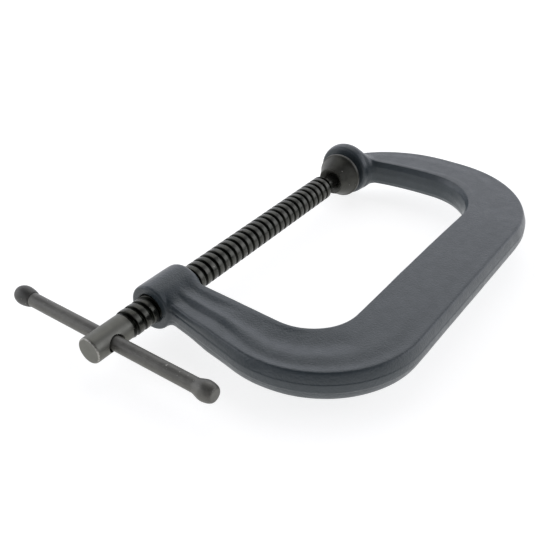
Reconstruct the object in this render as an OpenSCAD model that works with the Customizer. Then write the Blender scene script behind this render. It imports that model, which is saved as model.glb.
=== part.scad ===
// C clamp with a forged frame, a coarse screw spindle, a swivel pad and a sliding T handle.
// Frame: origin on the screw axis at the anvil face, +Y from the handle to the anvil,
// +X from the screw to the spine, +Z square to the plane of the frame.

/* [Frame] */
// Distance from the screw axis to the inner edge of the spine
throat = 103.4; // [99:0.2:107]
// Width of the spine, inner edge to outer edge
spine_w = 40.4; // [38:0.1:45]
// Thickness of the frame
frame_t = 18; // [16:0.5:20]
// Distance from the anvil face to the front arm's inner edge
front_arm_y = 189.8; // [186:0.2:194]
// Width of the front arm where it meets the corner
front_arm_w = 35.1; // [33:0.2:38]
// Rise of the rear arm's inner edge behind the anvil face
rear_arm_y = 15.7; // [14:0.1:18]
// Width of the rear arm at its widest
rear_arm_w = 33.4; // [30:0.1:35]
// Height of the vertical band round the outside
band_h = 5; // [4:0.5:7]

/* [Anvil] */
// Diameter of the anvil button
anvil_d = 38.8; // [36:0.2:41]
// Offset of the button's centre from the screw axis, away from the spine
anvil_offset = 2; // [0:0.1:2.4]
// Thickness of the anvil button
anvil_t = 13; // [12:0.5:16]

/* [Boss] */
// Outside diameter of the threaded boss
boss_d = 28.2; // [26:0.2:30]
// Distance from the anvil face to the inner end of the boss
boss_y = 183; // [180:0.5:185]
// Length of the boss
boss_l = 31.6; // [29:0.1:35]

/* [Spindle] */
// Diameter over the thread
screw_d = 17; // [16:0.1:18]
// Diameter at the bottom of the thread
root_d = 14.4; // [14:0.1:15]
// Lead of the right-hand thread
lead = 5.87; // [5:0.01:6.5]
// Width of the flat crest of the thread
crest_w = 3.5; // [3:0.1:3.8]
// Distance from the anvil face to the end of the thread
thread_y = 31.8; // [31:0.1:34]
// Distance from the anvil face to the end of the head
head_y = 261.3; // [258:0.1:264]
// Diameter of the head
head_d = 15.8; // [15:0.1:16.4]
// Length of the plain head
head_l = 26; // [24:0.5:28]
// Diameter of the neck that enters the pad
neck_d = 8.4; // [7.6:0.1:9]
// Diameter of the ball tip
ball_d = 11.2; // [10.8:0.1:11.4]

/* [Swivel pad] */
// Gap between the anvil face and the pad face
jaw_gap = 5.9; // [5.7:0.1:7]
// Largest diameter of the pad
pad_d = 32.4; // [32:0.2:35]
// Length of the pad
pad_l = 14.8; // [14.8:0.1:15.4]

/* [Handle] */
// Diameter of the sliding bar
bar_d = 8.5; // [8:0.1:8.9]
// Distance from the anvil face to the bar's axis
bar_y = 247.8; // [246:0.1:249]
// Distance from the screw axis to the right end of the handle
bar_half = 75.3; // [70:0.1:80]
// Largest diameter of the bar's knobs
knob_d = 11.8; // [11:0.1:12.6]
// Length of the ball pressed on the left end
knob_l = 13; // [12:0.5:15]

/* [Hidden] */

round_fn = 96;
clearance = 0.3;
half_t = frame_t / 2;
// Length by which a body runs on inside the one it is joined to
overlap = 8;
// Distance from the anvil face to the head end of the thread
screw_start = head_y - head_l + 3;
// Centre of the ball tip, and of its socket
ball_y = -jaw_gap - pad_l / 2 - 0.7;
// Plain end of the screw next to the pad, which passes inside the boss's thread
tail_r = root_d / 2 + 0.15;
tail_l = 5;
// How much wider the hole in the head is than the bar
bar_play = 1.3;
// X of the left end of the handle, a little shorter than the right
left_end = 2 - bar_half;
// Spigot on the left end of the bar
spigot_r = 3.2;
spigot_l = 8.8;

frame_paint = [0.36, 0.38, 0.41];
dark_steel = [0.25, 0.25, 0.24];
bar_steel = [0.30, 0.30, 0.28];

// ---- Outline of the frame: an inner and an outer path with matching stations ----

// Centres and radii of the four corner arcs
in_front_r = 30;
out_front_r = 65;
in_rear_r = 38.8;
out_rear_r = 72;
spine_out = throat + spine_w;
in_front_c = [throat - in_front_r, in_front_r - front_arm_y];
out_front_c = [spine_out - out_front_r, out_front_r - front_arm_y - front_arm_w];
in_rear_c = [throat - in_rear_r, rear_arm_y - in_rear_r];
out_rear_c = [spine_out - out_rear_r, rear_arm_y + rear_arm_w - out_rear_r];

// The arms start inside the boss and end inside the anvil button
arm_start_x = 4;
arm_rise = 2.4;
arm_taper = 12;
tip_x = 17;
tip_drop = 5.6;
tip_out_x = 4.4;
tip_end_x = -5;
tip_fall = 26;
tip_power = 2.9;

// Number of steps in the front arm, front corner, spine, rear corner, rear arm and tip
STEPS = [8, 12, 6, 12, 8, 2];
FIRST_OF = [for (s = 0, sum = 0; s <= 6; sum = s < 6 ? sum + STEPS[s] : sum, s = s + 1) sum];
last_station = FIRST_OF[6];

function along(a, b, n) = [for (i = [0:n - 1]) a + (b - a) * i / n];
function arc(c, r, a0, a1, n) =
    [for (i = [0:n - 1]) let (a = a0 + (a1 - a0) * i / n) c + r * [cos(a), sin(a)]];
function on_circle(c, r, a) = c + r * [cos(a), sin(a)];
function rear_edge(x) = rear_arm_y - tip_drop * pow((in_rear_c.x - x) / (in_rear_c.x - tip_x), 2);
function rear_back(x) = rear_arm_y + rear_arm_w
    - tip_fall * pow((out_rear_c.x - x) / (out_rear_c.x - tip_out_x), tip_power);

front_tangent = on_circle(out_front_c, out_front_r, 270 - arm_taper);
arm_run = front_tangent.x - arm_start_x;

inner_path = concat(
    along([arm_start_x, arm_rise - front_arm_y], [in_front_c.x, -front_arm_y], STEPS[0]),
    arc(in_front_c, in_front_r, -90, 0, STEPS[1]),
    along([throat, in_front_c.y], [throat, in_rear_c.y], STEPS[2]),
    arc(in_rear_c, in_rear_r, 0, 90, STEPS[3]),
    [for (x = along(in_rear_c.x, tip_x, STEPS[4])) [x, rear_edge(x)]],
    along([tip_x, rear_edge(tip_x)], [tip_x - 1, anvil_t / 2], STEPS[5]),
    [[tip_x - 1, anvil_t / 2]]);

outer_path = concat(
    along([arm_start_x, front_tangent.y + arm_run * tan(arm_taper)], front_tangent, STEPS[0]),
    arc(out_front_c, out_front_r, -90 - arm_taper, 0, STEPS[1]),
    along([spine_out, out_front_c.y], [spine_out, out_rear_c.y], STEPS[2]),
    arc(out_rear_c, out_rear_r, 0, 90, STEPS[3]),
    [for (x = along(out_rear_c.x, tip_out_x, STEPS[4])) [x, rear_back(x)]],
    [for (x = along(tip_out_x, tip_end_x, STEPS[5])) [x, rear_back(x)]],
    [[tip_end_x, rear_back(tip_end_x)]]);

// ---- Section of the frame, from the throat outwards: lip, groove, hump, groove, rib, band ----

draft = 0.7;
edge_chamfer = 0.4;
edge_drop = 3.2;
lip_w = 3.2;
lip_groove_depth = 2.2;
rib_groove_depth = 1.9;
rib_drop = 1.2;
roll_drop = 3.6;

function ramp(i, a, b) = min(1, max(0, (i - a) / (b - a)));
// How deep each groove is at a station, as a share of its full depth
function lip_groove(i) = ramp(i, 0, 3) * (1 - ramp(i, FIRST_OF[1] + 4, FIRST_OF[2] + 1));
function rib_groove(i) = ramp(i, 0, 3) * (1 - 0.6 * ramp(i, FIRST_OF[1] + 2, FIRST_OF[2])
    - 0.4 * ramp(i, FIRST_OF[3], FIRST_OF[4]));

// Upper half of the section as [distance from the inner edge, height]
function half_section(i, w) = [
    [0, half_t - edge_drop],
    [edge_chamfer, half_t],
    [lip_w, half_t],
    [0.18 * w, half_t - lip_groove_depth * lip_groove(i)],
    [0.40 * w, half_t - 0.2],
    [0.66 * w, half_t - 0.4 - rib_groove_depth * rib_groove(i)],
    [0.80 * w, half_t - rib_drop],
    [0.92 * w, half_t - roll_drop],
    [w, band_h / 2]];

function ring(i) = let (
    a = inner_path[i],
    b = outer_path[i],
    w = norm(b - a),
    dir = (b - a) / w,
    top = half_section(i, w),
    outline = concat([[-draft, 0]], top, [for (k = [len(top) - 1:-1:0]) [top[k][0], -top[k][1]]]))
    [for (p = outline) [a.x + dir.x * p[0], a.y + dir.y * p[0], p[1]]];

// A closed skin over equal rings of points, in triangles
module skin(rings) {
    n = len(rings[0]);
    last = len(rings) - 1;
    sides = [for (i = [0:last - 1], j = [0:n - 1]) let (
        a = i * n + j, b = i * n + (j + 1) % n, c = a + n, d = b + n) each [[a, c, b], [b, c, d]]];
    start_cap = [[for (j = [0:n - 1]) j]];
    end_cap = [[for (j = [n - 1:-1:0]) last * n + j]];
    polyhedron(points = [for (r = rings) each r], faces = concat(sides, start_cap, end_cap));
}

// Turns a profile of [radius, Y] points about the screw axis
module turned(profile) {
    rotate([-90, 0, 0]) rotate_extrude($fn = round_fn) polygon(profile);
}

module anvil_button() {
    r = anvil_d / 2;
    translate([-anvil_offset, 0, 0])
        turned([[0, 0], [r - 2.6, 0], [r - 1.1, 0.9], [r - 0.3, 2.6], [r, 5], [r - 0.5, anvil_t - 5.5],
            [r - 2, anvil_t - 2.8], [r - 5, anvil_t - 0.5], [r - 8, anvil_t], [0, anvil_t]]);
}

module boss() {
    r = boss_d / 2;
    y0 = -boss_y;
    y1 = -boss_y - boss_l;
    turned([[0, y0], [r - 4.2, y0], [r - 2.3, y0 - 0.5], [r - 0.7, y0 - 2], [r, y0 - 4.4],
        [r, y1 + 2.6], [r - 0.7, y1 + 0.8], [r - 2.4, y1], [0, y1]]);
}

// ---- Thread ----

thread_fn = 24;
flank = 0.28;
groove_w = lead - crest_w - 2 * flank;

// One turn of the thread as [share of the lead, radius]
THREAD = [
    [0, screw_d / 2],
    [crest_w / lead, screw_d / 2],
    [(crest_w + flank) / lead, root_d / 2],
    [(crest_w + flank + groove_w) / lead, root_d / 2]];
thread_rows = len(THREAD);

// Helical surface from y_from to y_to. It fades to from_r and to_r inside the solids at its ends.
module screw_thread(y_from, y_to, from_r, to_r) {
    turns = floor((y_to - y_from) / lead) - 1;
    rows = turns * thread_rows + 1;
    n = thread_fn;
    function fade(t) = ramp(t, 0.2, 1.1) * (1 - ramp(t, turns - 0.1, turns + 0.8));
    function vertex(row, j) = let (
        p = THREAD[row % thread_rows],
        t = floor(row / thread_rows) + p[0] + j / n,
        end_r = t < turns / 2 ? from_r : to_r,
        r = end_r + (p[1] - end_r) * fade(t),
        a = 360 * j / n)
        [r * sin(a), y_from + t * lead, r * cos(a)];
    rows_at_seam = rows + thread_rows;
    points = concat([for (row = [0:rows - 1], j = [0:n - 1]) vertex(row, j)],
        [for (row = [rows:rows_at_seam - 1]) vertex(row, 0)],
        [[0, y_from, 0], [0, y_to, 0]]);
    // Column 0 runs one turn further than the others, where the surface closes on itself
    function id(row, j) = j < n ? (row < rows ? row * n + j : rows * n + row - rows)
        : id(row + thread_rows, 0);
    cap_a = rows * n + thread_rows;
    cap_b = cap_a + 1;
    sides = [for (row = [0:rows - 2], j = [0:n - 1])
        each [[id(row, j), id(row + 1, j), id(row, j + 1)],
            [id(row, j + 1), id(row + 1, j), id(row + 1, j + 1)]]];
    low_rim = concat([for (j = [0:n - 1]) id(0, j)], [for (row = [thread_rows:-1:1]) id(row, 0)]);
    high_rim = concat([for (j = [0:n - 1]) id(rows - 1, j)],
        [for (row = [rows_at_seam - 1:-1:rows]) id(row, 0)]);
    low_cap = [for (k = [0:len(low_rim) - 1]) [cap_a, low_rim[k], low_rim[(k + 1) % len(low_rim)]]];
    high_cap = [for (k = [0:len(high_rim) - 1])
        [cap_b, high_rim[(k + 1) % len(high_rim)], high_rim[k]]];
    polyhedron(points = points, faces = concat(sides, low_cap, high_cap));
}

// Cutter for the boss's thread: the screw's crest, larger by the clearance all round
module nut_thread_cutter() {
    turns = ceil(boss_l / lead) + 2;
    start_turn = floor((screw_start - boss_y - boss_l) / lead) - 1;
    steps = turns * thread_fn;
    inner_r = root_d / 2 - 0.3;
    outer_r = screw_d / 2 + clearance;
    slope = flank / (screw_d / 2 - root_d / 2);
    half_out = crest_w / 2 + clearance - slope * clearance;
    half_in = half_out + slope * (outer_r - inner_r);
    rings = [for (i = [0:steps]) let (
        a = 360 * i / thread_fn,
        y = -screw_start + crest_w / 2 + (start_turn + i / thread_fn) * lead)
        [for (p = [[inner_r, half_in], [outer_r, half_out], [outer_r, -half_out], [inner_r, -half_in]])
            [p[0] * sin(a), y + p[1], p[0] * cos(a)]]];
    skin(rings);
}

// ---- Sub-parts ----

module frame() {
    color(frame_paint)
        difference() {
            union() {
                skin([for (i = [0:last_station]) ring(i)]);
                anvil_button();
                boss();
            }
            translate([0, -boss_y + 1, 0]) rotate([90, 0, 0])
                cylinder(h = boss_l + 2, d = root_d + 2 * clearance, $fn = round_fn);
            nut_thread_cutter();
        }
}

module spindle() {
    r = head_d / 2;
    chamfer = 0.7;
    color(dark_steel)
        difference() {
            union() {
                screw_thread(-screw_start, -thread_y, r - 0.5, tail_r - 0.5);
                turned([[0, -head_y], [r - chamfer, -head_y], [r, -head_y + chamfer],
                    [r, overlap - screw_start], [0, overlap - screw_start]]);
                turned([[0, -thread_y - tail_l], [tail_r, -thread_y - tail_l],
                    [tail_r, -thread_y - chamfer], [tail_r - chamfer, -thread_y],
                    [neck_d / 2, -thread_y], [neck_d / 2, ball_y], [0, ball_y]]);
                translate([0, ball_y, 0]) sphere(d = ball_d, $fn = round_fn);
            }
            translate([-head_d, -bar_y, 0]) rotate([0, 90, 0])
                cylinder(h = 2 * head_d, d = bar_d + bar_play, $fn = round_fn);
        }
}

module swivel_pad() {
    r = pad_d / 2;
    face = -jaw_gap;
    rear = -jaw_gap - pad_l;
    socket_r = ball_d / 2 + clearance;
    mouth_r = neck_d / 2 + 0.7;
    socket = [for (a = [0:15:180]) if (socket_r * sin(a) > mouth_r || a < 90)
        [socket_r * sin(a), ball_y + socket_r * cos(a)]];
    mouth_y = ball_y - sqrt(pow(socket_r, 2) - pow(mouth_r, 2));
    color(dark_steel)
        turned(concat(
            [[0, face], [r - 0.5, face], [r, face - 0.5], [r - 0.1, face - 2.4], [r - 1, face - 3.1],
                [r - 6.4, rear + 0.7], [r - 7, rear], [r - 8.5, rear + 0.7], [r - 10, rear + 2.1],
                [mouth_r, mouth_y]],
            [for (k = [len(socket) - 1:-1:0]) socket[k]]));
}

// Turns a profile of [radius, X] points about the bar's axis
module turned_on_bar(profile) {
    translate([0, -bar_y, 0]) rotate([0, 90, 0]) rotate_extrude($fn = round_fn) polygon(profile);
}

// The bar's right-hand knob is forged from the bar itself, its left end is turned down to a spigot
module handle_bar() {
    r = bar_d / 2;
    k = knob_d / 2;
    e = bar_half;
    shoulder = knob_l + left_end;
    color(bar_steel)
        turned_on_bar([[0, shoulder - spigot_l], [spigot_r, shoulder - spigot_l], [spigot_r, shoulder],
            [r, shoulder], [r, e - 12], [r + 0.5, e - 10.6], [k - 0.4, e - 8.6], [k - 0.1, e - 6.6],
            [k - 0.3, e - 4.4], [k - 1, e - 2.2], [k - 1.7, e - 0.5], [k - 2.3, e], [0, e]]);
}

// Ball pressed on the bar's left spigot once the bar is through the spindle's head
module end_knob() {
    k = knob_d / 2;
    mouth = knob_l + left_end;
    e = left_end;
    color(bar_steel)
        turned_on_bar([[0, e], [k - 3.4, e], [k - 1.9, e + 0.9], [k - 0.7, e + 2.8], [k, e + 5.6],
            [k - 0.3, e + 9.2], [k - 1.2, mouth], [spigot_r, mouth],
            [spigot_r, mouth - spigot_l - 0.2], [0, mouth - spigot_l - 0.2]]);
}

frame();
spindle();
swivel_pad();
handle_bar();
end_knob();
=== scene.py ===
"""C clamp: forged enamelled frame, coarse screw, swivel pad and sliding T handle.

Lengths are in millimetres in the shared frame and turn into metres when a mesh is made.
"""

import math

import bmesh
import bpy
import numpy as np
from mathutils import Matrix, Vector, noise
from mathutils.bvhtree import BVHTree


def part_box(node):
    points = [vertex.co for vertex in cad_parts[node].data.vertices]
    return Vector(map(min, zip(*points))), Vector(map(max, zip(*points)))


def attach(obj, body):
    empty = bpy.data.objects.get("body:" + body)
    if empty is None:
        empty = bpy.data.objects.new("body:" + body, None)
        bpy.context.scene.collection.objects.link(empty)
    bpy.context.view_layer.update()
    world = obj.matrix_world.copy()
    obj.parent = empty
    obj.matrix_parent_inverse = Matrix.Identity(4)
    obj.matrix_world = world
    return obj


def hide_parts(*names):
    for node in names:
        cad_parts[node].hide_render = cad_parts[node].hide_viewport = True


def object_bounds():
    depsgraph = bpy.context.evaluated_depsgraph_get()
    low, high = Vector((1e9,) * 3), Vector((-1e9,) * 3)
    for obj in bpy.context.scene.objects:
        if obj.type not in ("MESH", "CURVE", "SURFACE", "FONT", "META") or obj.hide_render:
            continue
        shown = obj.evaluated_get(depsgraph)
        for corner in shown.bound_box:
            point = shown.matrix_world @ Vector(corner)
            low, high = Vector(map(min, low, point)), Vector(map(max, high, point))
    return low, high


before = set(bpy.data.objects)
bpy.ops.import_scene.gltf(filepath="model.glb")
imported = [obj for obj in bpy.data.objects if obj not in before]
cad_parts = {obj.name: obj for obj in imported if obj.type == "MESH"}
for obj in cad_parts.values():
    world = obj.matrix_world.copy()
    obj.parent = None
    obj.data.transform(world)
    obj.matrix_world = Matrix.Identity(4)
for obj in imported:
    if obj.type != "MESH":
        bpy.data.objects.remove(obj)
CAD_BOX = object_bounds()
MM = 0.001
TAU = 2 * math.pi


def cad_box(node):
    """A CAD node's lowest and highest corners in millimetres."""
    return tuple(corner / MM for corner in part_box(node))


# ---- Driving dimensions, from the CAD nodes where they show them ----

_, FRAME_HI = cad_box("frame")
SPINDLE_LO, _ = cad_box("spindle")
PAD_LO, PAD_HI = cad_box("swivel_pad")
BAR_LO, BAR_HI = cad_box("handle_bar")
KNOB_LO, KNOB_HI = cad_box("end_knob")

HALF_T = 9.0                      # half the frame's thickness
THROAT = 103.4                    # screw axis to the spine's inner edge
SPINE_OUT = FRAME_HI.x
REAR_TOP = FRAME_HI.y
FRONT_ARM_Y = -189.8              # inner edge of the front arm
FRONT_ARM_W = 35.1
REAR_ARM_Y = 15.7                 # inner edge of the rear arm
BUTTON_R = FRAME_HI.z
BUTTON_T = 13.0
BUTTON_X = -2.0                   # the button stands a little off the screw's axis
BOSS_R = 14.1
BOSS_BACK = -183.0                # end of the boss that faces the throat
BOSS_FRONT = -214.6               # end of the boss that faces the head

CREST_R = 8.5
ROOT_R = 7.2
HEAD_R = 7.9
LEAD = 5.87
CREST_W = 3.5
FLANK = 0.28                      # axial width of a thread flank
PLAY = 0.3                        # clearance between the screw and the boss's thread
HELIX_ZERO = -238.3               # where a crest starts on the +Z generatrix
THREAD_END = -31.8                # pad end of the thread
HEAD_START = -235.3               # head end of the thread
HEAD_END = SPINDLE_LO.y
NECK_R = 4.2
BALL_R = 5.6
BORE_R = CREST_R + PLAY

PAD_FACE = PAD_HI.y
PAD_REAR = PAD_LO.y
PAD_R = PAD_HI.x
BALL_Y = PAD_FACE - (PAD_FACE - PAD_REAR) / 2 - 0.7

BAR_Y = (BAR_LO.y + BAR_HI.y) / 2
BAR_R = 4.25
BAR_HOLE_R = 4.9
SPIGOT_R = 3.2                    # reduced end of the bar inside the knob
BAR_SPIGOT_L = 8.8
KNOB_BORE_L = 9.0
KNOB_R = KNOB_HI.z
BAR_END = BAR_HI.x
KNOB_END = KNOB_LO.x
KNOB_MOUTH = KNOB_HI.x


# ---- Small mathematics ----

def ramp(x, a, b):
    """0 before a, 1 after b, smooth between them."""
    t = min(1.0, max(0.0, (x - a) / (b - a)))
    return t * t * (3 - 2 * t)


def blend(a, b, s):
    """a at s = 0 and b at s = 1."""
    return a + (b - a) * s


def spline(knots, per_span=3):
    """A quadratic B-spline through the middles of the knots' sides, as a list of points.

    It starts on the first knot and ends on the last."""
    pts = [np.array(k, float) for k in knots]
    n = len(pts)
    out = [pts[0]]
    for i in range(1, n - 1):
        before, here, after = pts[i - 1], pts[i], pts[i + 1]
        a = (before + here) / 2 if i > 1 else before
        b = (here + after) / 2 if i < n - 2 else after
        for j in range(per_span):
            t = j / per_span
            if i > 1 or j > 0:
                out.append((1 - t) ** 2 * a + 2 * t * (1 - t) * here + t * t * b)
    out.append(pts[-1])
    return out


# ---- Mesh helpers ----

MERGE_DISTANCE = 1e-7             # metres


def make_piece(name, verts, faces, smooth_angle=50):
    """A smooth-shaded object from vertices in millimetres."""
    mesh = bpy.data.meshes.new(name)
    mesh.from_pydata([tuple(c * MM for c in v) for v in verts], [], faces)
    return link(name, mesh, smooth_angle)


def link(name, mesh, smooth_angle=50):
    """Cleans a mesh, shades it smooth but for its sharp edges, and makes it an object."""
    bm = bmesh.new()
    bm.from_mesh(mesh)
    bmesh.ops.remove_doubles(bm, verts=bm.verts, dist=MERGE_DISTANCE)
    bmesh.ops.dissolve_degenerate(bm, dist=MERGE_DISTANCE, edges=bm.edges)
    bmesh.ops.recalc_face_normals(bm, faces=bm.faces)
    bm.to_mesh(mesh)
    bm.free()
    mesh.shade_smooth()
    mesh.set_sharp_from_angle(angle=math.radians(smooth_angle))
    piece = bpy.data.objects.new(name, mesh)
    bpy.context.scene.collection.objects.link(piece)
    return piece


def grid_faces(rows, columns, wrap_columns=True):
    """Quads over a grid of vertices stored row by row."""
    faces = []
    for i in range(rows - 1):
        for j in range(columns if wrap_columns else columns - 1):
            k = (j + 1) % columns
            faces.append((i * columns + j, i * columns + k, (i + 1) * columns + k, (i + 1) * columns + j))
    return faces


def outward(verts, faces):
    """The same surface with its faces turned outward."""
    v = [Vector(p) for p in verts]
    volume = sum(v[f[0]].dot(v[f[i]].cross(v[f[i + 1]])) for f in faces for i in range(1, len(f) - 1))
    return verts, faces if volume > 0 else [tuple(reversed(f)) for f in faces]


def revolve(profile, around="y", centre=(0, 0, 0), steps=128):
    """Vertices and faces of a profile of (radius, distance), axis to axis, turned about an axis."""
    verts = []
    for r, d in profile:
        for j in range(steps):
            a = TAU * j / steps
            c, s = r * math.cos(a), r * math.sin(a)
            p = (c, d, s) if around == "y" else (d, c, s)
            verts.append(tuple(u + v for u, v in zip(p, centre)))
    return outward(verts, grid_faces(len(profile), steps))


def boolean(piece, cutter, operation):
    """Applies a boolean with the cutter and removes the cutter."""
    mod = piece.modifiers.new("boolean", "BOOLEAN")
    mod.operation = operation
    mod.solver = "MANIFOLD"
    mod.object = cutter
    bpy.context.view_layer.update()
    result = piece.evaluated_get(bpy.context.evaluated_depsgraph_get())
    mesh = bpy.data.meshes.new_from_object(result)
    name = piece.name
    old = piece.data
    bpy.data.objects.remove(piece)
    bpy.data.meshes.remove(old)
    used = cutter.data
    bpy.data.objects.remove(cutter)
    bpy.data.meshes.remove(used)
    mesh.name = name
    return link(name, mesh)


def point_values(piece, name, values):
    """Stores one number per vertex, for the material to read."""
    attribute = piece.data.attributes.new(name, "FLOAT", "POINT")
    attribute.data.foreach_set("value", np.array(values, np.float32))


# ---- Frame: the swept C section ----
# t runs 0-1 along the front arm, 1-2 round the front corner, 2-3 up the spine,
# 3-4 round the rear corner, 4-5 along the rear arm and 5-6 into the anvil button.

IN_FRONT_R, OUT_FRONT_R, IN_REAR_R, OUT_REAR_R = 30.0, 65.0, 38.8, 72.0
ARM_START_X = 2.0                 # the front arm starts inside the boss
ARM_RISE = 2.4                    # how far its inner edge has risen there
ARM_TAPER = math.radians(12)      # slope of its outer edge
TIP_X, TIP_DROP = 17.0, 5.6       # end of the rear arm's inner edge, a parabola
TIP_OUT_X, TIP_FALL, TIP_POWER = 4.4, 26.0, 2.9    # end of its outer edge, a steeper power
TIP_IN, TIP_OUT = (12.5, 6.5), (-5.5, 7.0)         # where both edges end inside the button
STATIONS = (78, 92, 88, 92, 72, 12)                # sections along each part of the path

IN_FRONT_C = (THROAT - IN_FRONT_R, FRONT_ARM_Y + IN_FRONT_R)
OUT_FRONT_C = (SPINE_OUT - OUT_FRONT_R, FRONT_ARM_Y - FRONT_ARM_W + OUT_FRONT_R)
IN_REAR_C = (THROAT - IN_REAR_R, REAR_ARM_Y - IN_REAR_R)
OUT_REAR_C = (SPINE_OUT - OUT_REAR_R, REAR_TOP - OUT_REAR_R)


def on_circle(centre, radius, angle):
    return np.array([centre[0] + radius * math.cos(angle), centre[1] + radius * math.sin(angle)])


def between(a, b, s):
    return np.array(a, float) * (1 - s) + np.array(b, float) * s


def rear_inner(x):
    return REAR_ARM_Y - TIP_DROP * ((IN_REAR_C[0] - x) / (IN_REAR_C[0] - TIP_X)) ** 2


def rear_outer(x):
    return REAR_TOP - TIP_FALL * ((OUT_REAR_C[0] - x) / (OUT_REAR_C[0] - TIP_OUT_X)) ** TIP_POWER


def inner_edge(t):
    """The point of the throat's outline at t."""
    part, s = min(5, int(t)), t - min(5, int(t))
    if part == 0:
        start = (ARM_START_X, FRONT_ARM_Y + ARM_RISE)
        return between(start, (IN_FRONT_C[0], FRONT_ARM_Y), s)
    if part == 1:
        return on_circle(IN_FRONT_C, IN_FRONT_R, math.pi / 2 * (s - 1))
    if part == 2:
        return between((THROAT, IN_FRONT_C[1]), (THROAT, IN_REAR_C[1]), s)
    if part == 3:
        return on_circle(IN_REAR_C, IN_REAR_R, math.pi / 2 * s)
    if part == 4:
        x = IN_REAR_C[0] + (TIP_X - IN_REAR_C[0]) * s
        return np.array([x, rear_inner(x)])
    return between((TIP_X, rear_inner(TIP_X)), TIP_IN, s)


def outer_edge(t):
    """The point of the outside outline at t."""
    part, s = min(5, int(t)), t - min(5, int(t))
    tangent = on_circle(OUT_FRONT_C, OUT_FRONT_R, -math.pi / 2 - ARM_TAPER)
    if part == 0:
        rise = (tangent[0] - ARM_START_X) * math.tan(ARM_TAPER)
        return between((ARM_START_X, tangent[1] + rise), tangent, s)
    if part == 1:
        first = -math.pi / 2 - ARM_TAPER
        return on_circle(OUT_FRONT_C, OUT_FRONT_R, first * (1 - s))
    if part == 2:
        return between((SPINE_OUT, OUT_FRONT_C[1]), (SPINE_OUT, OUT_REAR_C[1]), s)
    if part == 3:
        return on_circle(OUT_REAR_C, OUT_REAR_R, math.pi / 2 * s)
    if part == 4:
        x = OUT_REAR_C[0] + (TIP_OUT_X - OUT_REAR_C[0]) * s
        return np.array([x, rear_outer(x)])
    return between((TIP_OUT_X, rear_outer(TIP_OUT_X)), TIP_OUT, s)


DRAFT = 0.7                       # how far the parting line stands into the throat
CREASE_Z = 5.6                    # height of the crease in the inner wall
FLASH_Z = 2.5                     # half the height of the band round the outside
EASE = 0.4                        # width of the rounded corner between wall and lip
FULL_SIZE_W = 28                  # a narrower section has smaller features

# How the section changes along the frame: (t, value) at stations with smooth joins between them.
# The wall's lean, the lip's width and the run of the slope inside it are widths. The rest are the
# heights lost or gained from the lip to the slope's foot, the dip, the hump, the valley and the rib.
WALL_LEAN = ((0, 0.3), (2.5, 0.3), (3.2, 1.5), (3.7, 1.9), (5, 1.6), (6, 1))
LIP = ((0, 2.6), (0.4, 3.4), (0.7, 2.4), (1.1, 1.3), (1.6, 0.8), (2.6, 1.0), (3.2, 1.4), (3.7, 4.6),
       (4.3, 2.2), (5, 2))
SLOPE_RUN = ((0, 4.2), (0.7, 4.6), (1.17, 3.6), (1.6, 4.5), (3, 5), (3.7, 2.2), (4.5, 1.6), (5, 3))
LIP_FALL = ((0, 0), (0.12, 0.9), (0.4, 1.1), (0.7, 0.5), (0.95, 0.65), (1.17, 0.8), (1.5, 0.3),
            (1.85, 0.04), (3.0, 0), (3.25, 0.22), (3.7, 0.12), (4.5, 0.2), (5, 0))
DIP_FALL = ((0, 0), (0.6, 0.05), (0.9, 0.6), (1.17, 0.95), (1.5, 0.8), (1.8, 0.15), (2, 0), (6, 0))
HUMP_RISE = ((0, 0.3), (0.4, 0.75), (0.7, 0.85), (1.17, 1.2), (1.5, 1.0), (1.8, 0.25), (2, 0.03),
             (3.8, 0.03), (4.5, 0.16), (5, 0))
VALLEY_FALL = ((0, 0.3), (0.15, 1.2), (0.4, 2.0), (0.7, 1.5), (1.17, 0.75), (1.8, 0.4), (2.3, 0.15),
               (3, 0.12), (4.4, 0.22), (5, 0.1))
RIB_RISE = ((0, 0.1), (0.4, 0.75), (1.17, 0.85), (1.5, 0.6), (1.8, 0.35), (2.3, 0.1), (4, 0.02), (6, 0))


def at(t, stations):
    """A quantity's value at t."""
    for (a, low), (b, high) in zip(stations, stations[1:]):
        if t <= b:
            return low + (high - low) * ramp(t, a, b)
    return stations[-1][1]


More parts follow.
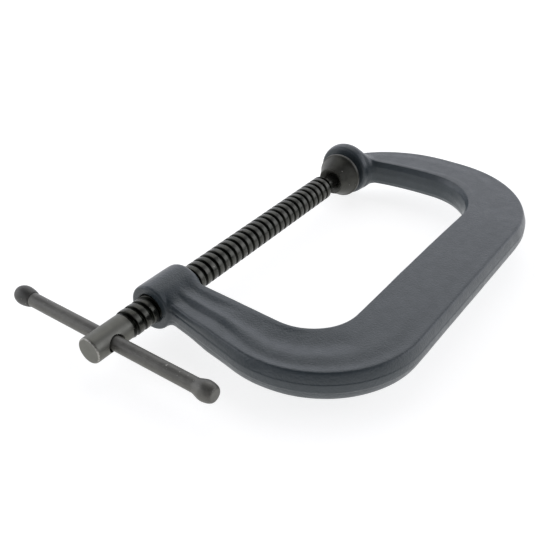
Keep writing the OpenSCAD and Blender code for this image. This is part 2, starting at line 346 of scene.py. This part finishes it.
def section(t, w):
    """Upper half of the section as knots of (distance from the inner edge, height).

    Going out: a lip, a slope down to a wide dip, a hump, a narrower valley, the outer rib, then the
    steep flank down to the flash band."""
    size = min(1.0, w / FULL_SIZE_W)
    near_front = 1 - ramp(t, 0.6, 1.2)
    lean, top = at(t, WALL_LEAN), HALF_T
    lip = lean + EASE + at(t, LIP) * size
    foot = lip + at(t, SLOPE_RUN) * size
    dip = max(0.37 * w, foot + 0.6)
    hump = (0.61 - 0.07 * near_front) * w
    valley = (0.80 - 0.10 * near_front) * w
    rib = w - (3.2 - 1.4 * near_front) * size
    lip_z = top - at(t, LIP_FALL)
    dip_z = lip_z - at(t, DIP_FALL)
    hump_z = dip_z + at(t, HUMP_RISE)
    valley_z = hump_z - at(t, VALLEY_FALL)
    rib_z = valley_z + at(t, RIB_RISE)

    def on_way(start, end, along, rise):
        """A knot between two others, by its shares of the way across and of the height."""
        return blend(start[0], end[0], along), blend(start[1], end[1], rise)

    at_lip, at_foot, at_dip = (lip, top), (foot, lip_z), (dip, dip_z)
    at_hump, at_valley, at_rib = (hump, hump_z), (valley, valley_z), (rib, rib_z)
    at_flash = (w, FLASH_Z)
    return [
        (-DRAFT, 0), (-0.75 * DRAFT, 1.4), (-0.3 * DRAFT, 3.8), (-0.05, CREASE_Z - 0.3),
        (0.05, CREASE_Z + 0.1), (0.8 * lean, top - 1.0), (0.95 * lean, top - 0.3),
        (lean + EASE, top), (lip, top - 0.02),
        on_way(at_lip, at_foot, 0.2, 0.12), on_way(at_lip, at_foot, 0.75, 0.85), at_foot,
        on_way(at_foot, at_dip, 0.6, 0.75), at_dip,
        on_way(at_dip, at_hump, 0.35, 0.22), on_way(at_dip, at_hump, 0.75, 0.88), at_hump,
        on_way(at_hump, at_valley, 0.35, 0.32), on_way(at_hump, at_valley, 0.75, 0.93), at_valley,
        on_way(at_valley, at_rib, 0.45, 0.4), on_way(at_valley, at_rib, 0.85, 1),
        (blend(rib, w, 0.2), rib_z - 0.2),
        on_way(at_rib, at_flash, 0.42, 0.24), on_way(at_rib, at_flash, 0.72, 0.62),
        (w - 0.5, FLASH_Z + 1.0), (w - 0.36, FLASH_Z + 0.4), (w - 0.12, FLASH_Z + 0.12),
        (w, FLASH_Z - 0.35), (w, 0)]


def sweep():
    """Vertices and faces of the closed skin along both paths."""
    ts = [part + i / count for part, count in enumerate(STATIONS) for i in range(count)] + [6.0]
    rings = []
    for t in ts:
        a, b = inner_edge(t), outer_edge(t)
        w = np.linalg.norm(b - a)
        out = (b - a) / w
        half = spline(section(t, w), 2)
        loop = half + [np.array([d, -z]) for d, z in reversed(half[1:-1])]
        rings.append([(a[0] + out[0] * d, a[1] + out[1] * d, z) for d, z in loop])
    n = len(rings[0])
    verts = [p for r in rings for p in r]
    faces = grid_faces(len(rings), n)
    for first in (0, (len(rings) - 1) * n):
        cap = [(j, j + 1, n - j - 1, (n - j) % n) for j in range(n // 2)]
        cap = [tuple(first + j for j in dict.fromkeys(f)) for f in cap]
        faces += cap if first else [tuple(reversed(f)) for f in cap]
    return outward(verts, faces)


ROUND_STEPS = 160                 # facets round the boss and the button


def boss_mesh():
    r, back, front = BOSS_R, BOSS_BACK, BOSS_FRONT
    knots = [
        (0, back), (6, back), (r - 4.2, back), (r - 1.9, back - 0.4), (r - 0.4, back - 2.0),
        (r, back - 5.0), (r, (back + front) / 2), (r, front + 6.0), (r, front + 2.3),
        (r - 0.15, front + 0.9), (r - 0.8, front + 0.15), (r - 2.0, front), (r - 3.6, front + 0.1),
        (6, front + 0.1), (0, front + 0.1)]
    return revolve(spline(knots, 4), steps=ROUND_STEPS)


def button_mesh():
    r, t = BUTTON_R, BUTTON_T
    knots = [
        (0, 0), (r - 9, 0), (r - 2.9, 0), (r - 1.9, 0.1), (r - 0.85, 0.7), (r - 0.4, 2.2), (r - 0.1, 4.0),
        (r, 5.6), (r - 0.5, t - 5.2), (r - 2.2, t - 2.4), (r - 5, t - 0.4), (r - 9, t), (0, t)]
    return revolve(spline(knots, 4), centre=(BUTTON_X, 0, 0), steps=ROUND_STEPS)


def surface_tree(verts, faces):
    return BVHTree.FromPolygons([Vector(v) for v in verts], faces, epsilon=0.0)


ON_SURFACE = 1e-4                 # millimetres


def signed(bvh, p):
    """Distance from p to a closed surface, negative inside it, and the outward direction."""
    q, normal, _, _ = bvh.find_nearest(p)
    away = p - q
    d = away.length
    if d < ON_SURFACE:
        return 0.0, normal
    return (d, away / d) if away.dot(normal) > 0 else (-d, -away / d)


def fillet(verts, own, other, reach):
    """Moves a surface's points near another onto the rounded join of the two.

    reach(p) is how far the join reaches. Just inside the other body the points follow the join
    a little below it, then let go."""
    release, hold, bury = -5.0, -2.0, 0.06
    rounds, longest_step, no_reach = 8, 1.5, 0.3
    moved = []
    for v in verts:
        p = Vector(v)
        depth, _ = signed(other, p)
        if reach(p) < no_reach or depth > reach(p) or depth < release:
            moved.append(v)
            continue
        goal = -bury * max(0.0, -depth)
        for _ in range(rounds):
            k = reach(p)
            a, na = signed(own, p)
            b, nb = signed(other, p)
            h = max(k - abs(a - b), 0) / max(k, 0.01)
            join = min(a, b) - h * h * k / 4
            share_a = 1 - h / 2 if a < b else h / 2
            slope = na * share_a + nb * (1 - share_a)
            step = (join - goal) / max(slope.length_squared, 0.3)
            p -= slope * max(-longest_step, min(longest_step, step))
        moved.append(tuple(Vector(v).lerp(p, ramp(depth, release, hold))))
    return moved


def boss_reach(p):
    """Small at the front rim, wide where the arm's top runs out on the boss."""
    return 2.5 + 4.5 * ramp(p.y, BOSS_FRONT, BOSS_FRONT + 9) * ramp(p.x, 0, 9)


def button_reach(p):
    """The join leaves the button's face alone."""
    return 8.5 * ramp(p.y, 1.0, 8.0)


def forge(piece, skip):
    """Gives the mesh the slight waviness of a forging that was ground and painted."""
    mesh = piece.data
    for vertex, normal in zip(mesh.vertices, [n.vector.copy() for n in mesh.vertex_normals]):
        v = vertex.co / MM
        if skip(v):
            continue
        broad, fine = noise.noise(v / 26), noise.noise(v / 9 + Vector((7, 3, 1)))
        vertex.co += normal * (0.10 * broad + 0.05 * fine) * MM


def on_button_face(v):
    return -1 < v.y < 0.3


def build_frame():
    """The swept arm joined to the boss and the button, then bored and threaded."""
    arm, boss, button = sweep(), boss_mesh(), button_mesh()
    arm_tree, boss_tree, button_tree = surface_tree(*arm), surface_tree(*boss), surface_tree(*button)
    arm_verts = fillet(arm[0], arm_tree, boss_tree, boss_reach)
    arm_verts = fillet(arm_verts, arm_tree, button_tree, button_reach)
    boss_verts = fillet(boss[0], boss_tree, arm_tree, boss_reach)
    button_verts = fillet(button[0], button_tree, arm_tree, button_reach)
    piece = make_piece("frame_forging", arm_verts, arm[1])
    piece = boolean(piece, make_piece("boss", boss_verts, boss[1]), "UNION")
    piece = boolean(piece, make_piece("button", button_verts, button[1]), "UNION")
    forge(piece, on_button_face)
    chamfer, beyond = 0.7, 3.0
    mouths = [
        (0, BOSS_FRONT - beyond), (BORE_R + chamfer + beyond, BOSS_FRONT - beyond),
        (BORE_R - 1, BOSS_FRONT + chamfer + 1), (BORE_R - 1, BOSS_BACK - chamfer - 1),
        (BORE_R + chamfer + beyond, BOSS_BACK + beyond), (0, BOSS_BACK + beyond)]
    piece = boolean(piece, make_piece("mouths", *revolve(mouths, steps=96)), "DIFFERENCE")
    rows = helix(BOSS_FRONT - 1, BOSS_BACK + 1, PLAY)
    rows = [flat_ring(0, BOSS_FRONT - 1)] + rows + [flat_ring(0, BOSS_BACK + 1)]
    return boolean(piece, make_piece("nut", *skin_of(rows)), "DIFFERENCE")


# ---- Spindle ----

SCREW_STEPS = 96
SMOOTH_TURNED = 40                # degrees, below which a turned piece is shaded smooth


def flat_ring(r, y):
    return [(r, y, TAU * j / SCREW_STEPS) for j in range(SCREW_STEPS + 1)]


def helix(y_from, y_to, grow=0.0, crest=lambda y: CREST_R, depth=lambda y: CREST_R - ROOT_R):
    """Rows of (radius, y, angle) that follow a right-hand thread between two planes.

    Rows past a plane collapse onto it. grow makes the whole form larger, for the boss's thread."""
    c, f = CREST_W + 2 * grow, FLANK
    gap = LEAD - c - 2 * f
    # Axial places over one lead, and the share of the thread's height at each
    places = (0, 0.08, 0.30, c / 2, c - 0.30, c - 0.08, c,
              c + f, c + f + 0.17, c + f + gap / 2, c + f + gap - 0.17, c + f + gap, LEAD)
    shares = (0.88, 0.97, 1, 1, 1, 0.97, 0.88, 0.12, 0, 0, 0, 0.12, 0.88)
    zero = HELIX_ZERO - grow
    first = math.floor((y_from - zero) / LEAD) - 2
    last = math.ceil((y_to - zero) / LEAD) + 1
    rows = []
    for turn in range(first, last):
        for place in places[:-1]:
            ring = []
            for j in range(SCREW_STEPS + 1):
                y = zero + place + (turn + j / SCREW_STEPS) * LEAD
                y = min(y_to, max(y_from, y))
                here = ((y - zero) / LEAD - j / SCREW_STEPS) % 1 * LEAD
                share = float(np.interp(here, places, shares))
                ring.append((crest(y) + grow - (1 - share) * depth(y), y, TAU * j / SCREW_STEPS))
            rows.append(ring)
    return rows


def skin_of(rows):
    """Vertices and faces of rows of (radius, y, angle), the angle from +Z towards +X."""
    verts = [(r * math.sin(a), y, r * math.cos(a)) for ring in rows for r, y, a in ring]
    return outward(verts, grid_faces(len(rows), len(rows[0]), False))


def screw_thread():
    """The thread's rows: it runs out on the head, and its pad end is chamfered."""
    run_out = 0.55 * LEAD
    end_chamfer = 0.7

    def crest(y):
        return HEAD_R + (CREST_R - HEAD_R) * ramp(y, HEAD_START, HEAD_START + run_out)

    def depth(y):
        return (CREST_R - ROOT_R) * ramp(y, HEAD_START, HEAD_START + run_out)

    return [[(min(r, CREST_R - end_chamfer + THREAD_END - y), y, a) for r, y, a in ring]
            for ring in helix(HEAD_START, THREAD_END, 0.0, crest, depth)]


def bar_hole():
    """Cutter for the cross hole, flared where it meets the head's round side."""
    flare, beyond, run = 1.1, 2, 1.6
    hole = spline([
        (BAR_HOLE_R + flare, -HEAD_R - beyond), (BAR_HOLE_R + flare, -HEAD_R), (BAR_HOLE_R, -HEAD_R + run),
        (BAR_HOLE_R, -3), (BAR_HOLE_R, 3), (BAR_HOLE_R, HEAD_R - run),
        (BAR_HOLE_R + flare, HEAD_R), (BAR_HOLE_R + flare, HEAD_R + beyond)], 3)
    hole = [(0.0, hole[0][1])] + hole + [(0.0, hole[-1][1])]
    return make_piece("hole", *revolve(hole, "x", (0, BAR_Y, 0), 96))


def mark_spindle(piece):
    """Marks the thread's grooves for their painted shade and grease, the head and the head's worn rim for
    the material.
    """
    groove, rim, head = [], [], []
    for v in piece.data.vertices:
        r, y = math.hypot(v.co.x, v.co.z) / MM, v.co.y / MM
        in_thread = HEAD_START < y < THREAD_END
        # How far a point sits down in a groove, which is where the painted groove shade goes
        groove.append(ramp(CREST_R - r, 0.02, 0.35) if in_thread else 0.0)
        rim.append(ramp(r, HEAD_R - 1.0, HEAD_R - 0.5) * (1 - ramp(y, HEAD_END + 0.5, HEAD_END + 0.9)))
        head.append(1 - ramp(y, HEAD_START - 1, HEAD_START + 1))
    point_values(piece, "groove", groove)
    point_values(piece, "rim", rim)
    point_values(piece, "head", head)


def build_spindle():
    """One grid: the rings of the head, the thread, then the rings of the neck and the ball."""
    head = spline([
        (0, HEAD_END), (HEAD_R - 2.5, HEAD_END), (HEAD_R - 0.75, HEAD_END + 0.02),
        (HEAD_R - 0.3, HEAD_END + 0.25), (HEAD_R, HEAD_END + 0.85), (HEAD_R, HEAD_END + 3),
        (HEAD_R, HEAD_START - 2), (HEAD_R, HEAD_START)], 3)
    neck = spline([
        (CREST_R - 1.5, THREAD_END), (NECK_R + 1, THREAD_END), (NECK_R + 0.1, THREAD_END + 0.1),
        (NECK_R, THREAD_END + 0.8), (NECK_R, THREAD_END + 4),
        (NECK_R, BALL_Y - math.sqrt(BALL_R ** 2 - NECK_R ** 2))], 3)
    ball = [(BALL_R * math.sin(a), BALL_Y - BALL_R * math.cos(a))
            for a in np.linspace(math.asin(NECK_R / BALL_R), math.pi, 20)]
    rows = [flat_ring(*p) for p in head[:-1]] + screw_thread() + [flat_ring(*p) for p in neck + ball[1:]]
    piece = make_piece("spindle_screw", *skin_of(rows), SMOOTH_TURNED)
    piece = boolean(piece, bar_hole(), "DIFFERENCE")
    mark_spindle(piece)
    return piece


# ---- Pad, bar and knob ----

def build_pad():
    """A steel shoe: flat face, conical back, and a socket closed round the spindle's ball."""
    face, rear, r = PAD_FACE, PAD_REAR, PAD_R
    socket_r = BALL_R + 0.3
    mouth_r = NECK_R + 0.9
    socket = [(socket_r * math.sin(a), BALL_Y + socket_r * math.cos(a))
              for a in np.linspace(0.0, math.pi - math.asin(mouth_r / socket_r), 16)]
    outside = spline([
        (0, face), (r - 6, face), (r - 0.8, face), (r - 0.2, face - 0.12), (r, face - 0.7),
        (r - 0.05, face - 2.2), (r - 0.15, face - 2.7), (r - 0.75, face - 3.1), (r - 1.35, face - 3.9),
        (r - 3.6, face - 8.6), (r - 5.9, rear + 1.6), (r - 6.35, rear + 0.55), (r - 6.9, rear + 0.03),
        (r - 7.5, rear + 0.25), (r - 8.3, rear + 0.9), (r - 9.8, rear + 2.1),
        (mouth_r, BALL_Y - math.sqrt(socket_r ** 2 - mouth_r ** 2))], 3)
    profile = outside + socket[::-1][1:]
    return make_piece("swivel_pad_shell", *revolve(profile, steps=144), SMOOTH_TURNED)


def turned_on_bar(name, profile):
    return make_piece(name, *revolve(profile, "x", (0, BAR_Y, 0), 96), SMOOTH_TURNED)


def build_bar():
    """The sliding bar: a spigot inside the pressed knob, and the other end upset into a knob."""
    e, r, k, shoulder = BAR_END, BAR_R, KNOB_R, KNOB_MOUTH
    spigot = shoulder - BAR_SPIGOT_L
    knots = [
        (r, shoulder + 0.3), (r, e - 15), (r, e - 12.6), (r + 0.35, e - 11.2), (k - 0.75, e - 9.5),
        (k - 0.2, e - 7.6), (k - 0.05, e - 6.0), (k - 0.3, e - 3.6), (k - 0.85, e - 1.6),
        (k - 1.55, e - 0.45), (k - 2.1, e - 0.1), (k - 3.0, e), (0, e)]
    start = [(0, spigot), (SPIGOT_R, spigot), (SPIGOT_R, shoulder), (r - 0.3, shoulder)]
    return turned_on_bar("handle_bar_rod", start + spline(knots, 4))


def build_knob():
    """The pressed knob, bored for the bar's spigot."""
    e, k, mouth = KNOB_END, KNOB_R, KNOB_MOUTH
    bore = mouth - KNOB_BORE_L
    knots = [
        (0, e), (k - 4.2, e), (k - 2.9, e + 0.15), (k - 1.7, e + 0.9), (k - 0.65, e + 2.8),
        (k, e + 5.4), (k - 0.15, e + 8.6), (k - 0.7, mouth - 1.7), (k - 1.1, mouth - 0.35),
        (k - 1.5, mouth), (SPIGOT_R, mouth)]
    return turned_on_bar("end_knob_ball", spline(knots, 4) + [(SPIGOT_R, bore), (0, bore)])


# ---- Materials ----

class Nodes:
    """Short way to build a node tree."""

    def __init__(self, name):
        self.material = bpy.data.materials.new(name)
        self.material.use_nodes = True
        self.tree = self.material.node_tree
        self.tree.nodes.clear()
        self.out = self.add("ShaderNodeOutputMaterial")
        self.shader = self.add("ShaderNodeBsdfPrincipled")
        self.wire(self.shader, "BSDF", self.out, "Surface")
        self.place = self.add("ShaderNodeTexCoord")

    def add(self, kind, **settings):
        node = self.tree.nodes.new(kind)
        for key, value in settings.items():
            setattr(node, key, value)
        return node

    def wire(self, a, out, b, into):
        self.tree.links.new(a.outputs[out], b.inputs[into])

    def drive(self, socket_name, value):
        """Feeds a socket of the shader."""
        self.tree.links.new(value, self.shader.inputs[socket_name])

    def noise(self, size_mm, detail, roughness=0.55, stretch=(1, 1, 1)):
        """Noise whose features are about size_mm across."""
        scale = 1 / (size_mm * MM)
        where = self.add("ShaderNodeMapping")
        where.inputs["Scale"].default_value = [scale * s for s in stretch]
        self.wire(self.place, "Object", where, "Vector")
        node = self.add("ShaderNodeTexNoise")
        for key, value in (("Scale", 1.0), ("Detail", detail), ("Roughness", roughness)):
            node.inputs[key].default_value = value
        self.wire(where, "Vector", node, "Vector")
        return node

    def mark(self, name):
        """A number stored on the mesh's vertices."""
        return self.add("ShaderNodeAttribute", attribute_name=name)

    def band(self, source, lo, hi, to_lo=0.0, to_hi=1.0):
        """Rescales a noise or a mark, with smooth ends."""
        node = self.add("ShaderNodeMapRange", interpolation_type="SMOOTHSTEP")
        for key, value in (("From Min", lo), ("From Max", hi), ("To Min", to_lo), ("To Max", to_hi)):
            node.inputs[key].default_value = value
        self.wire(source, "Fac", node, "Value")
        return node.outputs["Result"]

    def combine(self, operation, *values):
        """A sum or product of sockets and numbers."""
        node = self.add("ShaderNodeMath", operation=operation)
        for socket, value in zip(node.inputs, values):
            if isinstance(value, (int, float)):
                socket.default_value = value
            else:
                self.tree.links.new(value, socket)
        return node.outputs[0]

    def mix(self, factor, a, b):
        """Mixes two colours; each is a tuple or a socket."""
        node = self.add("ShaderNodeMix", data_type="RGBA")
        self.tree.links.new(factor, node.inputs[0])
        for socket, value in ((6, a), (7, b)):
            if isinstance(value, tuple):
                node.inputs[socket].default_value = (*value, 1)
            else:
                self.tree.links.new(value, node.inputs[socket])
        return node.outputs[2]

    def bump(self, heights):
        """Chains bumps of (noise, strength, distance in mm) into the shader's normal."""
        last = None
        for source, strength, distance in heights:
            node = self.add("ShaderNodeBump")
            node.inputs["Strength"].default_value = strength
            node.inputs["Distance"].default_value = distance * MM
            self.wire(source, "Fac", node, "Height")
            if last:
                self.wire(last, "Normal", node, "Normal")
            last = node
        self.wire(last, "Normal", self.shader, "Normal")


ENAMEL_DARK = (0.037, 0.049, 0.057)
ENAMEL_LIGHT = (0.042, 0.054, 0.063)
ENAMEL_MOTTLE = (0.032, 0.042, 0.048)
BARE_STEEL = (0.42, 0.41, 0.38)
# Painted shade with some grease: the near black put into the thread's grooves
GROOVE_SHADE_AND_GREASE = (0.003, 0.004, 0.002)
ALONG_X, ALONG_Y = 0, 1


def enamel():
    """Blue-grey enamel over a forging: cloudy, mottled, with a fine orange peel."""
    m = Nodes("grey_enamel")
    cloud = m.noise(38, 2)
    mottle = m.noise(5, 4, 0.6)
    peel = m.noise(1.1, 2, 0.5)
    grain = m.noise(0.5, 2, 0.6)
    base = m.mix(m.band(cloud, 0.35, 0.65), ENAMEL_DARK, ENAMEL_LIGHT)
    base = m.mix(m.band(mottle, 0.3, 0.7, 0.0, 0.5), base, ENAMEL_MOTTLE)
    m.drive("Base Color", base)
    m.drive("Roughness", m.band(mottle, 0.3, 0.7, 0.29, 0.37))
    m.shader.inputs["IOR"].default_value = 1.52
    m.bump([(peel, 1.0, 0.22), (grain, 0.9, 0.10)])
    return m.material


def times(colour, factor):
    return tuple(c * factor for c in colour)


def steel(name, tone, dark, rough, metal, along, spindle=False):
    """Blackened steel with fine scratches that run along one axis.

    On the spindle the grooves are painted near black, as shade with some grease in it, the head is lighter
    and duller, and its rim is worn bare."""
    m = Nodes(name)
    stretch = [0.06 if i == along else 1.0 for i in range(3)]
    scratch = m.noise(0.5, 4, 0.7, stretch)
    cloud = m.noise(9, 4, 0.6)
    speck = m.noise(1.1, 3, 0.6)
    chip = m.noise(2.6, 2, 0.75)
    base = m.mix(m.band(cloud, 0.35, 0.65), dark, tone)
    base = m.mix(m.band(scratch, 0.52, 0.72, 0.0, 0.45), base, times(tone, 1.6))
    base = m.mix(m.band(speck, 0.66, 0.74, 0.0, 0.6), base, times(dark, 0.35))
    base = m.mix(m.band(chip, 0.715, 0.735), base, BARE_STEEL)
    roughness = m.band(cloud, 0.3, 0.7, rough, rough + 0.12)
    if spindle:
        head = m.mark("head").outputs["Fac"]
        base = m.mix(head, base, times(tone, 2.2))
        roughness = m.combine("MULTIPLY_ADD", head, 0.2, roughness)
        worn = m.combine("MULTIPLY", m.mark("rim").outputs["Fac"], m.band(speck, 0.40, 0.55, 0.25, 0.9))
        base = m.mix(worn, base, BARE_STEEL)
        # Painted shade: the grooves are darkened to near black, standing for the shade in them plus some
        # grease
        base = m.mix(m.band(m.mark("groove"), 0.1, 0.8), base, GROOVE_SHADE_AND_GREASE)
    m.shader.inputs["Metallic"].default_value = metal
    m.drive("Base Color", base)
    m.drive("Roughness", roughness)
    m.bump([(scratch, 0.3, 0.04), (speck, 0.3, 0.05)])
    return m.material


# ---- Build ----

SCREW_STEEL = steel("black_screw_steel", tone=(0.070, 0.070, 0.062), dark=(0.044, 0.045, 0.039),
                    rough=0.23, metal=0.88, along=ALONG_X, spindle=True)
PAD_STEEL = steel("black_pad_steel", tone=(0.055, 0.055, 0.046), dark=(0.035, 0.035, 0.029),
                  rough=0.38, metal=0.5, along=ALONG_Y)
BAR_STEEL = steel("bar_steel", tone=(0.145, 0.143, 0.128), dark=(0.105, 0.103, 0.092),
                  rough=0.40, metal=0.35, along=ALONG_X)
KNOB_STEEL = steel("knob_steel", tone=(0.088, 0.087, 0.080), dark=(0.060, 0.060, 0.054),
                   rough=0.42, metal=0.35, along=ALONG_X)

PIECES = (
    # builder, CAD node, body, slot, material
    (build_frame, "frame", "frame", "frame_paint", enamel()),
    (build_spindle, "spindle", "spindle", "dark_steel", SCREW_STEEL),
    (build_pad, "swivel_pad", "pad", "dark_steel", PAD_STEEL),
    (build_bar, "handle_bar", "handle", "bar_steel", BAR_STEEL),
    (build_knob, "end_knob", "handle", "bar_steel", KNOB_STEEL),
)

for build, node, body, slot, material in PIECES:
    piece = build()
    piece.data.materials.clear()
    piece.data.materials.append(material)
    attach(piece, body)
    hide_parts(node)


# ---- Studio ----

# The camera looks at a point near the object's middle; AZIMUTH turns it from -Y towards +X
AZIMUTH, ELEVATION, ROLL = math.radians(35.849), math.radians(33.811), math.radians(0.14)
LENS, SENSOR = 50.902, 36.0
DISTANCE = 0.4861
AIM = Vector((-0.0158, -0.0211, -0.0115))
FLOOR_HALF = 6.0
FLOOR_GREY, FLOOR_GLOW = 0.45, 0.80

# The surroundings' brightness as (place, brightness): by direction round the object, 0 in front and
# 1 behind, and by height, 0 at the horizon and 1 overhead
ROUND_PEAK, RISE_PEAK = 1.8, 1.5
ROUND = ((0.0, 0.20), (0.22, 0.22), (0.36, 1.1), (0.45, 1.7), (0.62, 1.7), (0.82, 1.15), (1.0, 1.0))
RISE = ((0.0, 1.0), (0.3, 1.15), (0.4, 1.5), (0.47, 1.35), (0.556, 0.86), (0.667, 0.5), (0.76, 0.27),
        (0.87, 0.12), (1.0, 0.10))
TINT = (0.98, 0.99, 1.06)
SEEN_GREY = 0.9                   # what the camera itself sees past the floor


def make_floor(z):
    verts = [(x * FLOOR_HALF, y * FLOOR_HALF, z) for x, y in ((-1, -1), (1, -1), (1, 1), (-1, 1))]
    mesh = bpy.data.meshes.new("floor")
    mesh.from_pydata(verts, [], [(0, 1, 2, 3)])
    floor = bpy.data.objects.new("floor", mesh)
    bpy.context.scene.collection.objects.link(floor)
    m = Nodes("white_floor")
    m.shader.inputs["Base Color"].default_value = (FLOOR_GREY, FLOOR_GREY, FLOOR_GREY, 1)
    m.shader.inputs["Roughness"].default_value = 0.75
    m.shader.inputs["Emission Color"].default_value = (1, 1, 1, 1)
    m.shader.inputs["Emission Strength"].default_value = FLOOR_GLOW
    mesh.materials.append(m.material)


def make_camera(centre):
    back = Vector((math.sin(AZIMUTH) * math.cos(ELEVATION), -math.cos(AZIMUTH) * math.cos(ELEVATION),
                   math.sin(ELEVATION)))
    data = bpy.data.cameras.new("camera")
    data.lens, data.sensor_width = LENS, SENSOR
    data.clip_start, data.clip_end = 0.01, 50
    camera = bpy.data.objects.new("camera", data)
    camera.location = centre + AIM + back * DISTANCE
    turn = (-back).to_track_quat("-Z", "Y").to_matrix() @ Matrix.Rotation(ROLL, 3, "Z")
    camera.rotation_euler = turn.to_euler()
    bpy.context.scene.collection.objects.link(camera)
    bpy.context.scene.camera = camera


def make_world():
    """A white tent: bright at both sides and behind, dark overhead and towards the camera."""
    world = bpy.data.worlds.new("studio")
    world.use_nodes = True
    bpy.context.scene.world = world
    world.node_tree.nodes.clear()
    new, join = world.node_tree.nodes.new, world.node_tree.links.new

    def math_node(operation, a, b=None):
        node = new("ShaderNodeMath")
        node.operation = operation
        for socket, value in zip(node.inputs, (a, b)):
            if isinstance(value, (int, float)):
                socket.default_value = value
            elif value:
                join(value, socket)
        return node.outputs[0]

    def vector_node(operation, a, b):
        node = new("ShaderNodeVectorMath")
        node.operation = operation
        for socket, value in zip(node.inputs, (a, b)):
            if isinstance(value, tuple):
                socket.default_value = value
            else:
                join(value, socket)
        return node

    def level(value, stops, peak):
        """Brightness over peak, read off the stops."""
        node = new("ShaderNodeValToRGB")
        elements = node.color_ramp.elements
        for i, (place, bright) in enumerate(stops):
            stop = elements[i] if i < 2 else elements.new(place)
            stop.position = place
            stop.color = (bright / peak, bright / peak, bright / peak, 1)
        join(value, node.inputs["Fac"])
        return node.outputs["Color"]

    way = new("ShaderNodeTexCoord").outputs["Generated"]
    split = new("ShaderNodeSeparateXYZ")
    join(way, split.inputs[0])
    height = split.outputs["Z"]
    flat_squared = math_node("SUBTRACT", 1.0, math_node("MULTIPLY", height, height))
    flat = math_node("SQRT", math_node("MAXIMUM", flat_squared, 0.0004))
    dot = vector_node("DOT_PRODUCT", way, (-math.sin(AZIMUTH), math.cos(AZIMUTH), 0))
    behind = math_node("DIVIDE", dot.outputs["Value"], flat)
    turn = math_node("MULTIPLY", math_node("ADD", behind, 1.0), 0.5)
    glow = vector_node("MULTIPLY", level(turn, ROUND, ROUND_PEAK), level(height, RISE, RISE_PEAK))
    tinted = vector_node("MULTIPLY", glow.outputs[0], TINT)
    studio = new("ShaderNodeBackground")
    studio.inputs["Strength"].default_value = ROUND_PEAK * RISE_PEAK
    join(tinted.outputs[0], studio.inputs["Color"])
    seen = new("ShaderNodeBackground")
    seen.inputs["Color"].default_value = (SEEN_GREY, SEEN_GREY, SEEN_GREY, 1)
    path = new("ShaderNodeLightPath")
    mix = new("ShaderNodeMixShader")
    join(path.outputs["Is Camera Ray"], mix.inputs["Fac"])
    join(studio.outputs[0], mix.inputs[1])
    join(seen.outputs[0], mix.inputs[2])
    out = new("ShaderNodeOutputWorld")
    join(mix.outputs[0], out.inputs["Surface"])


def soft_light(name, energy, size, position, target):
    data = bpy.data.lights.new(name, "AREA")
    data.shape, data.size = "DISK", size
    data.energy = energy
    light = bpy.data.objects.new(name, data)
    light.location = position
    light.rotation_euler = (Vector(target) - Vector(position)).to_track_quat("-Z", "Y").to_euler()
    light.visible_camera = False
    bpy.context.scene.collection.objects.link(light)


scene = bpy.context.scene
scene.view_settings.view_transform = "Standard"
scene.view_settings.look = "None"
centre = (CAD_BOX[0] + CAD_BOX[1]) / 2
make_floor(CAD_BOX[0].z)
make_camera(centre)
make_world()
soft_light("key", 6.0, 1.6, centre + Vector((-0.5, 0.9, 1.5)), centre)
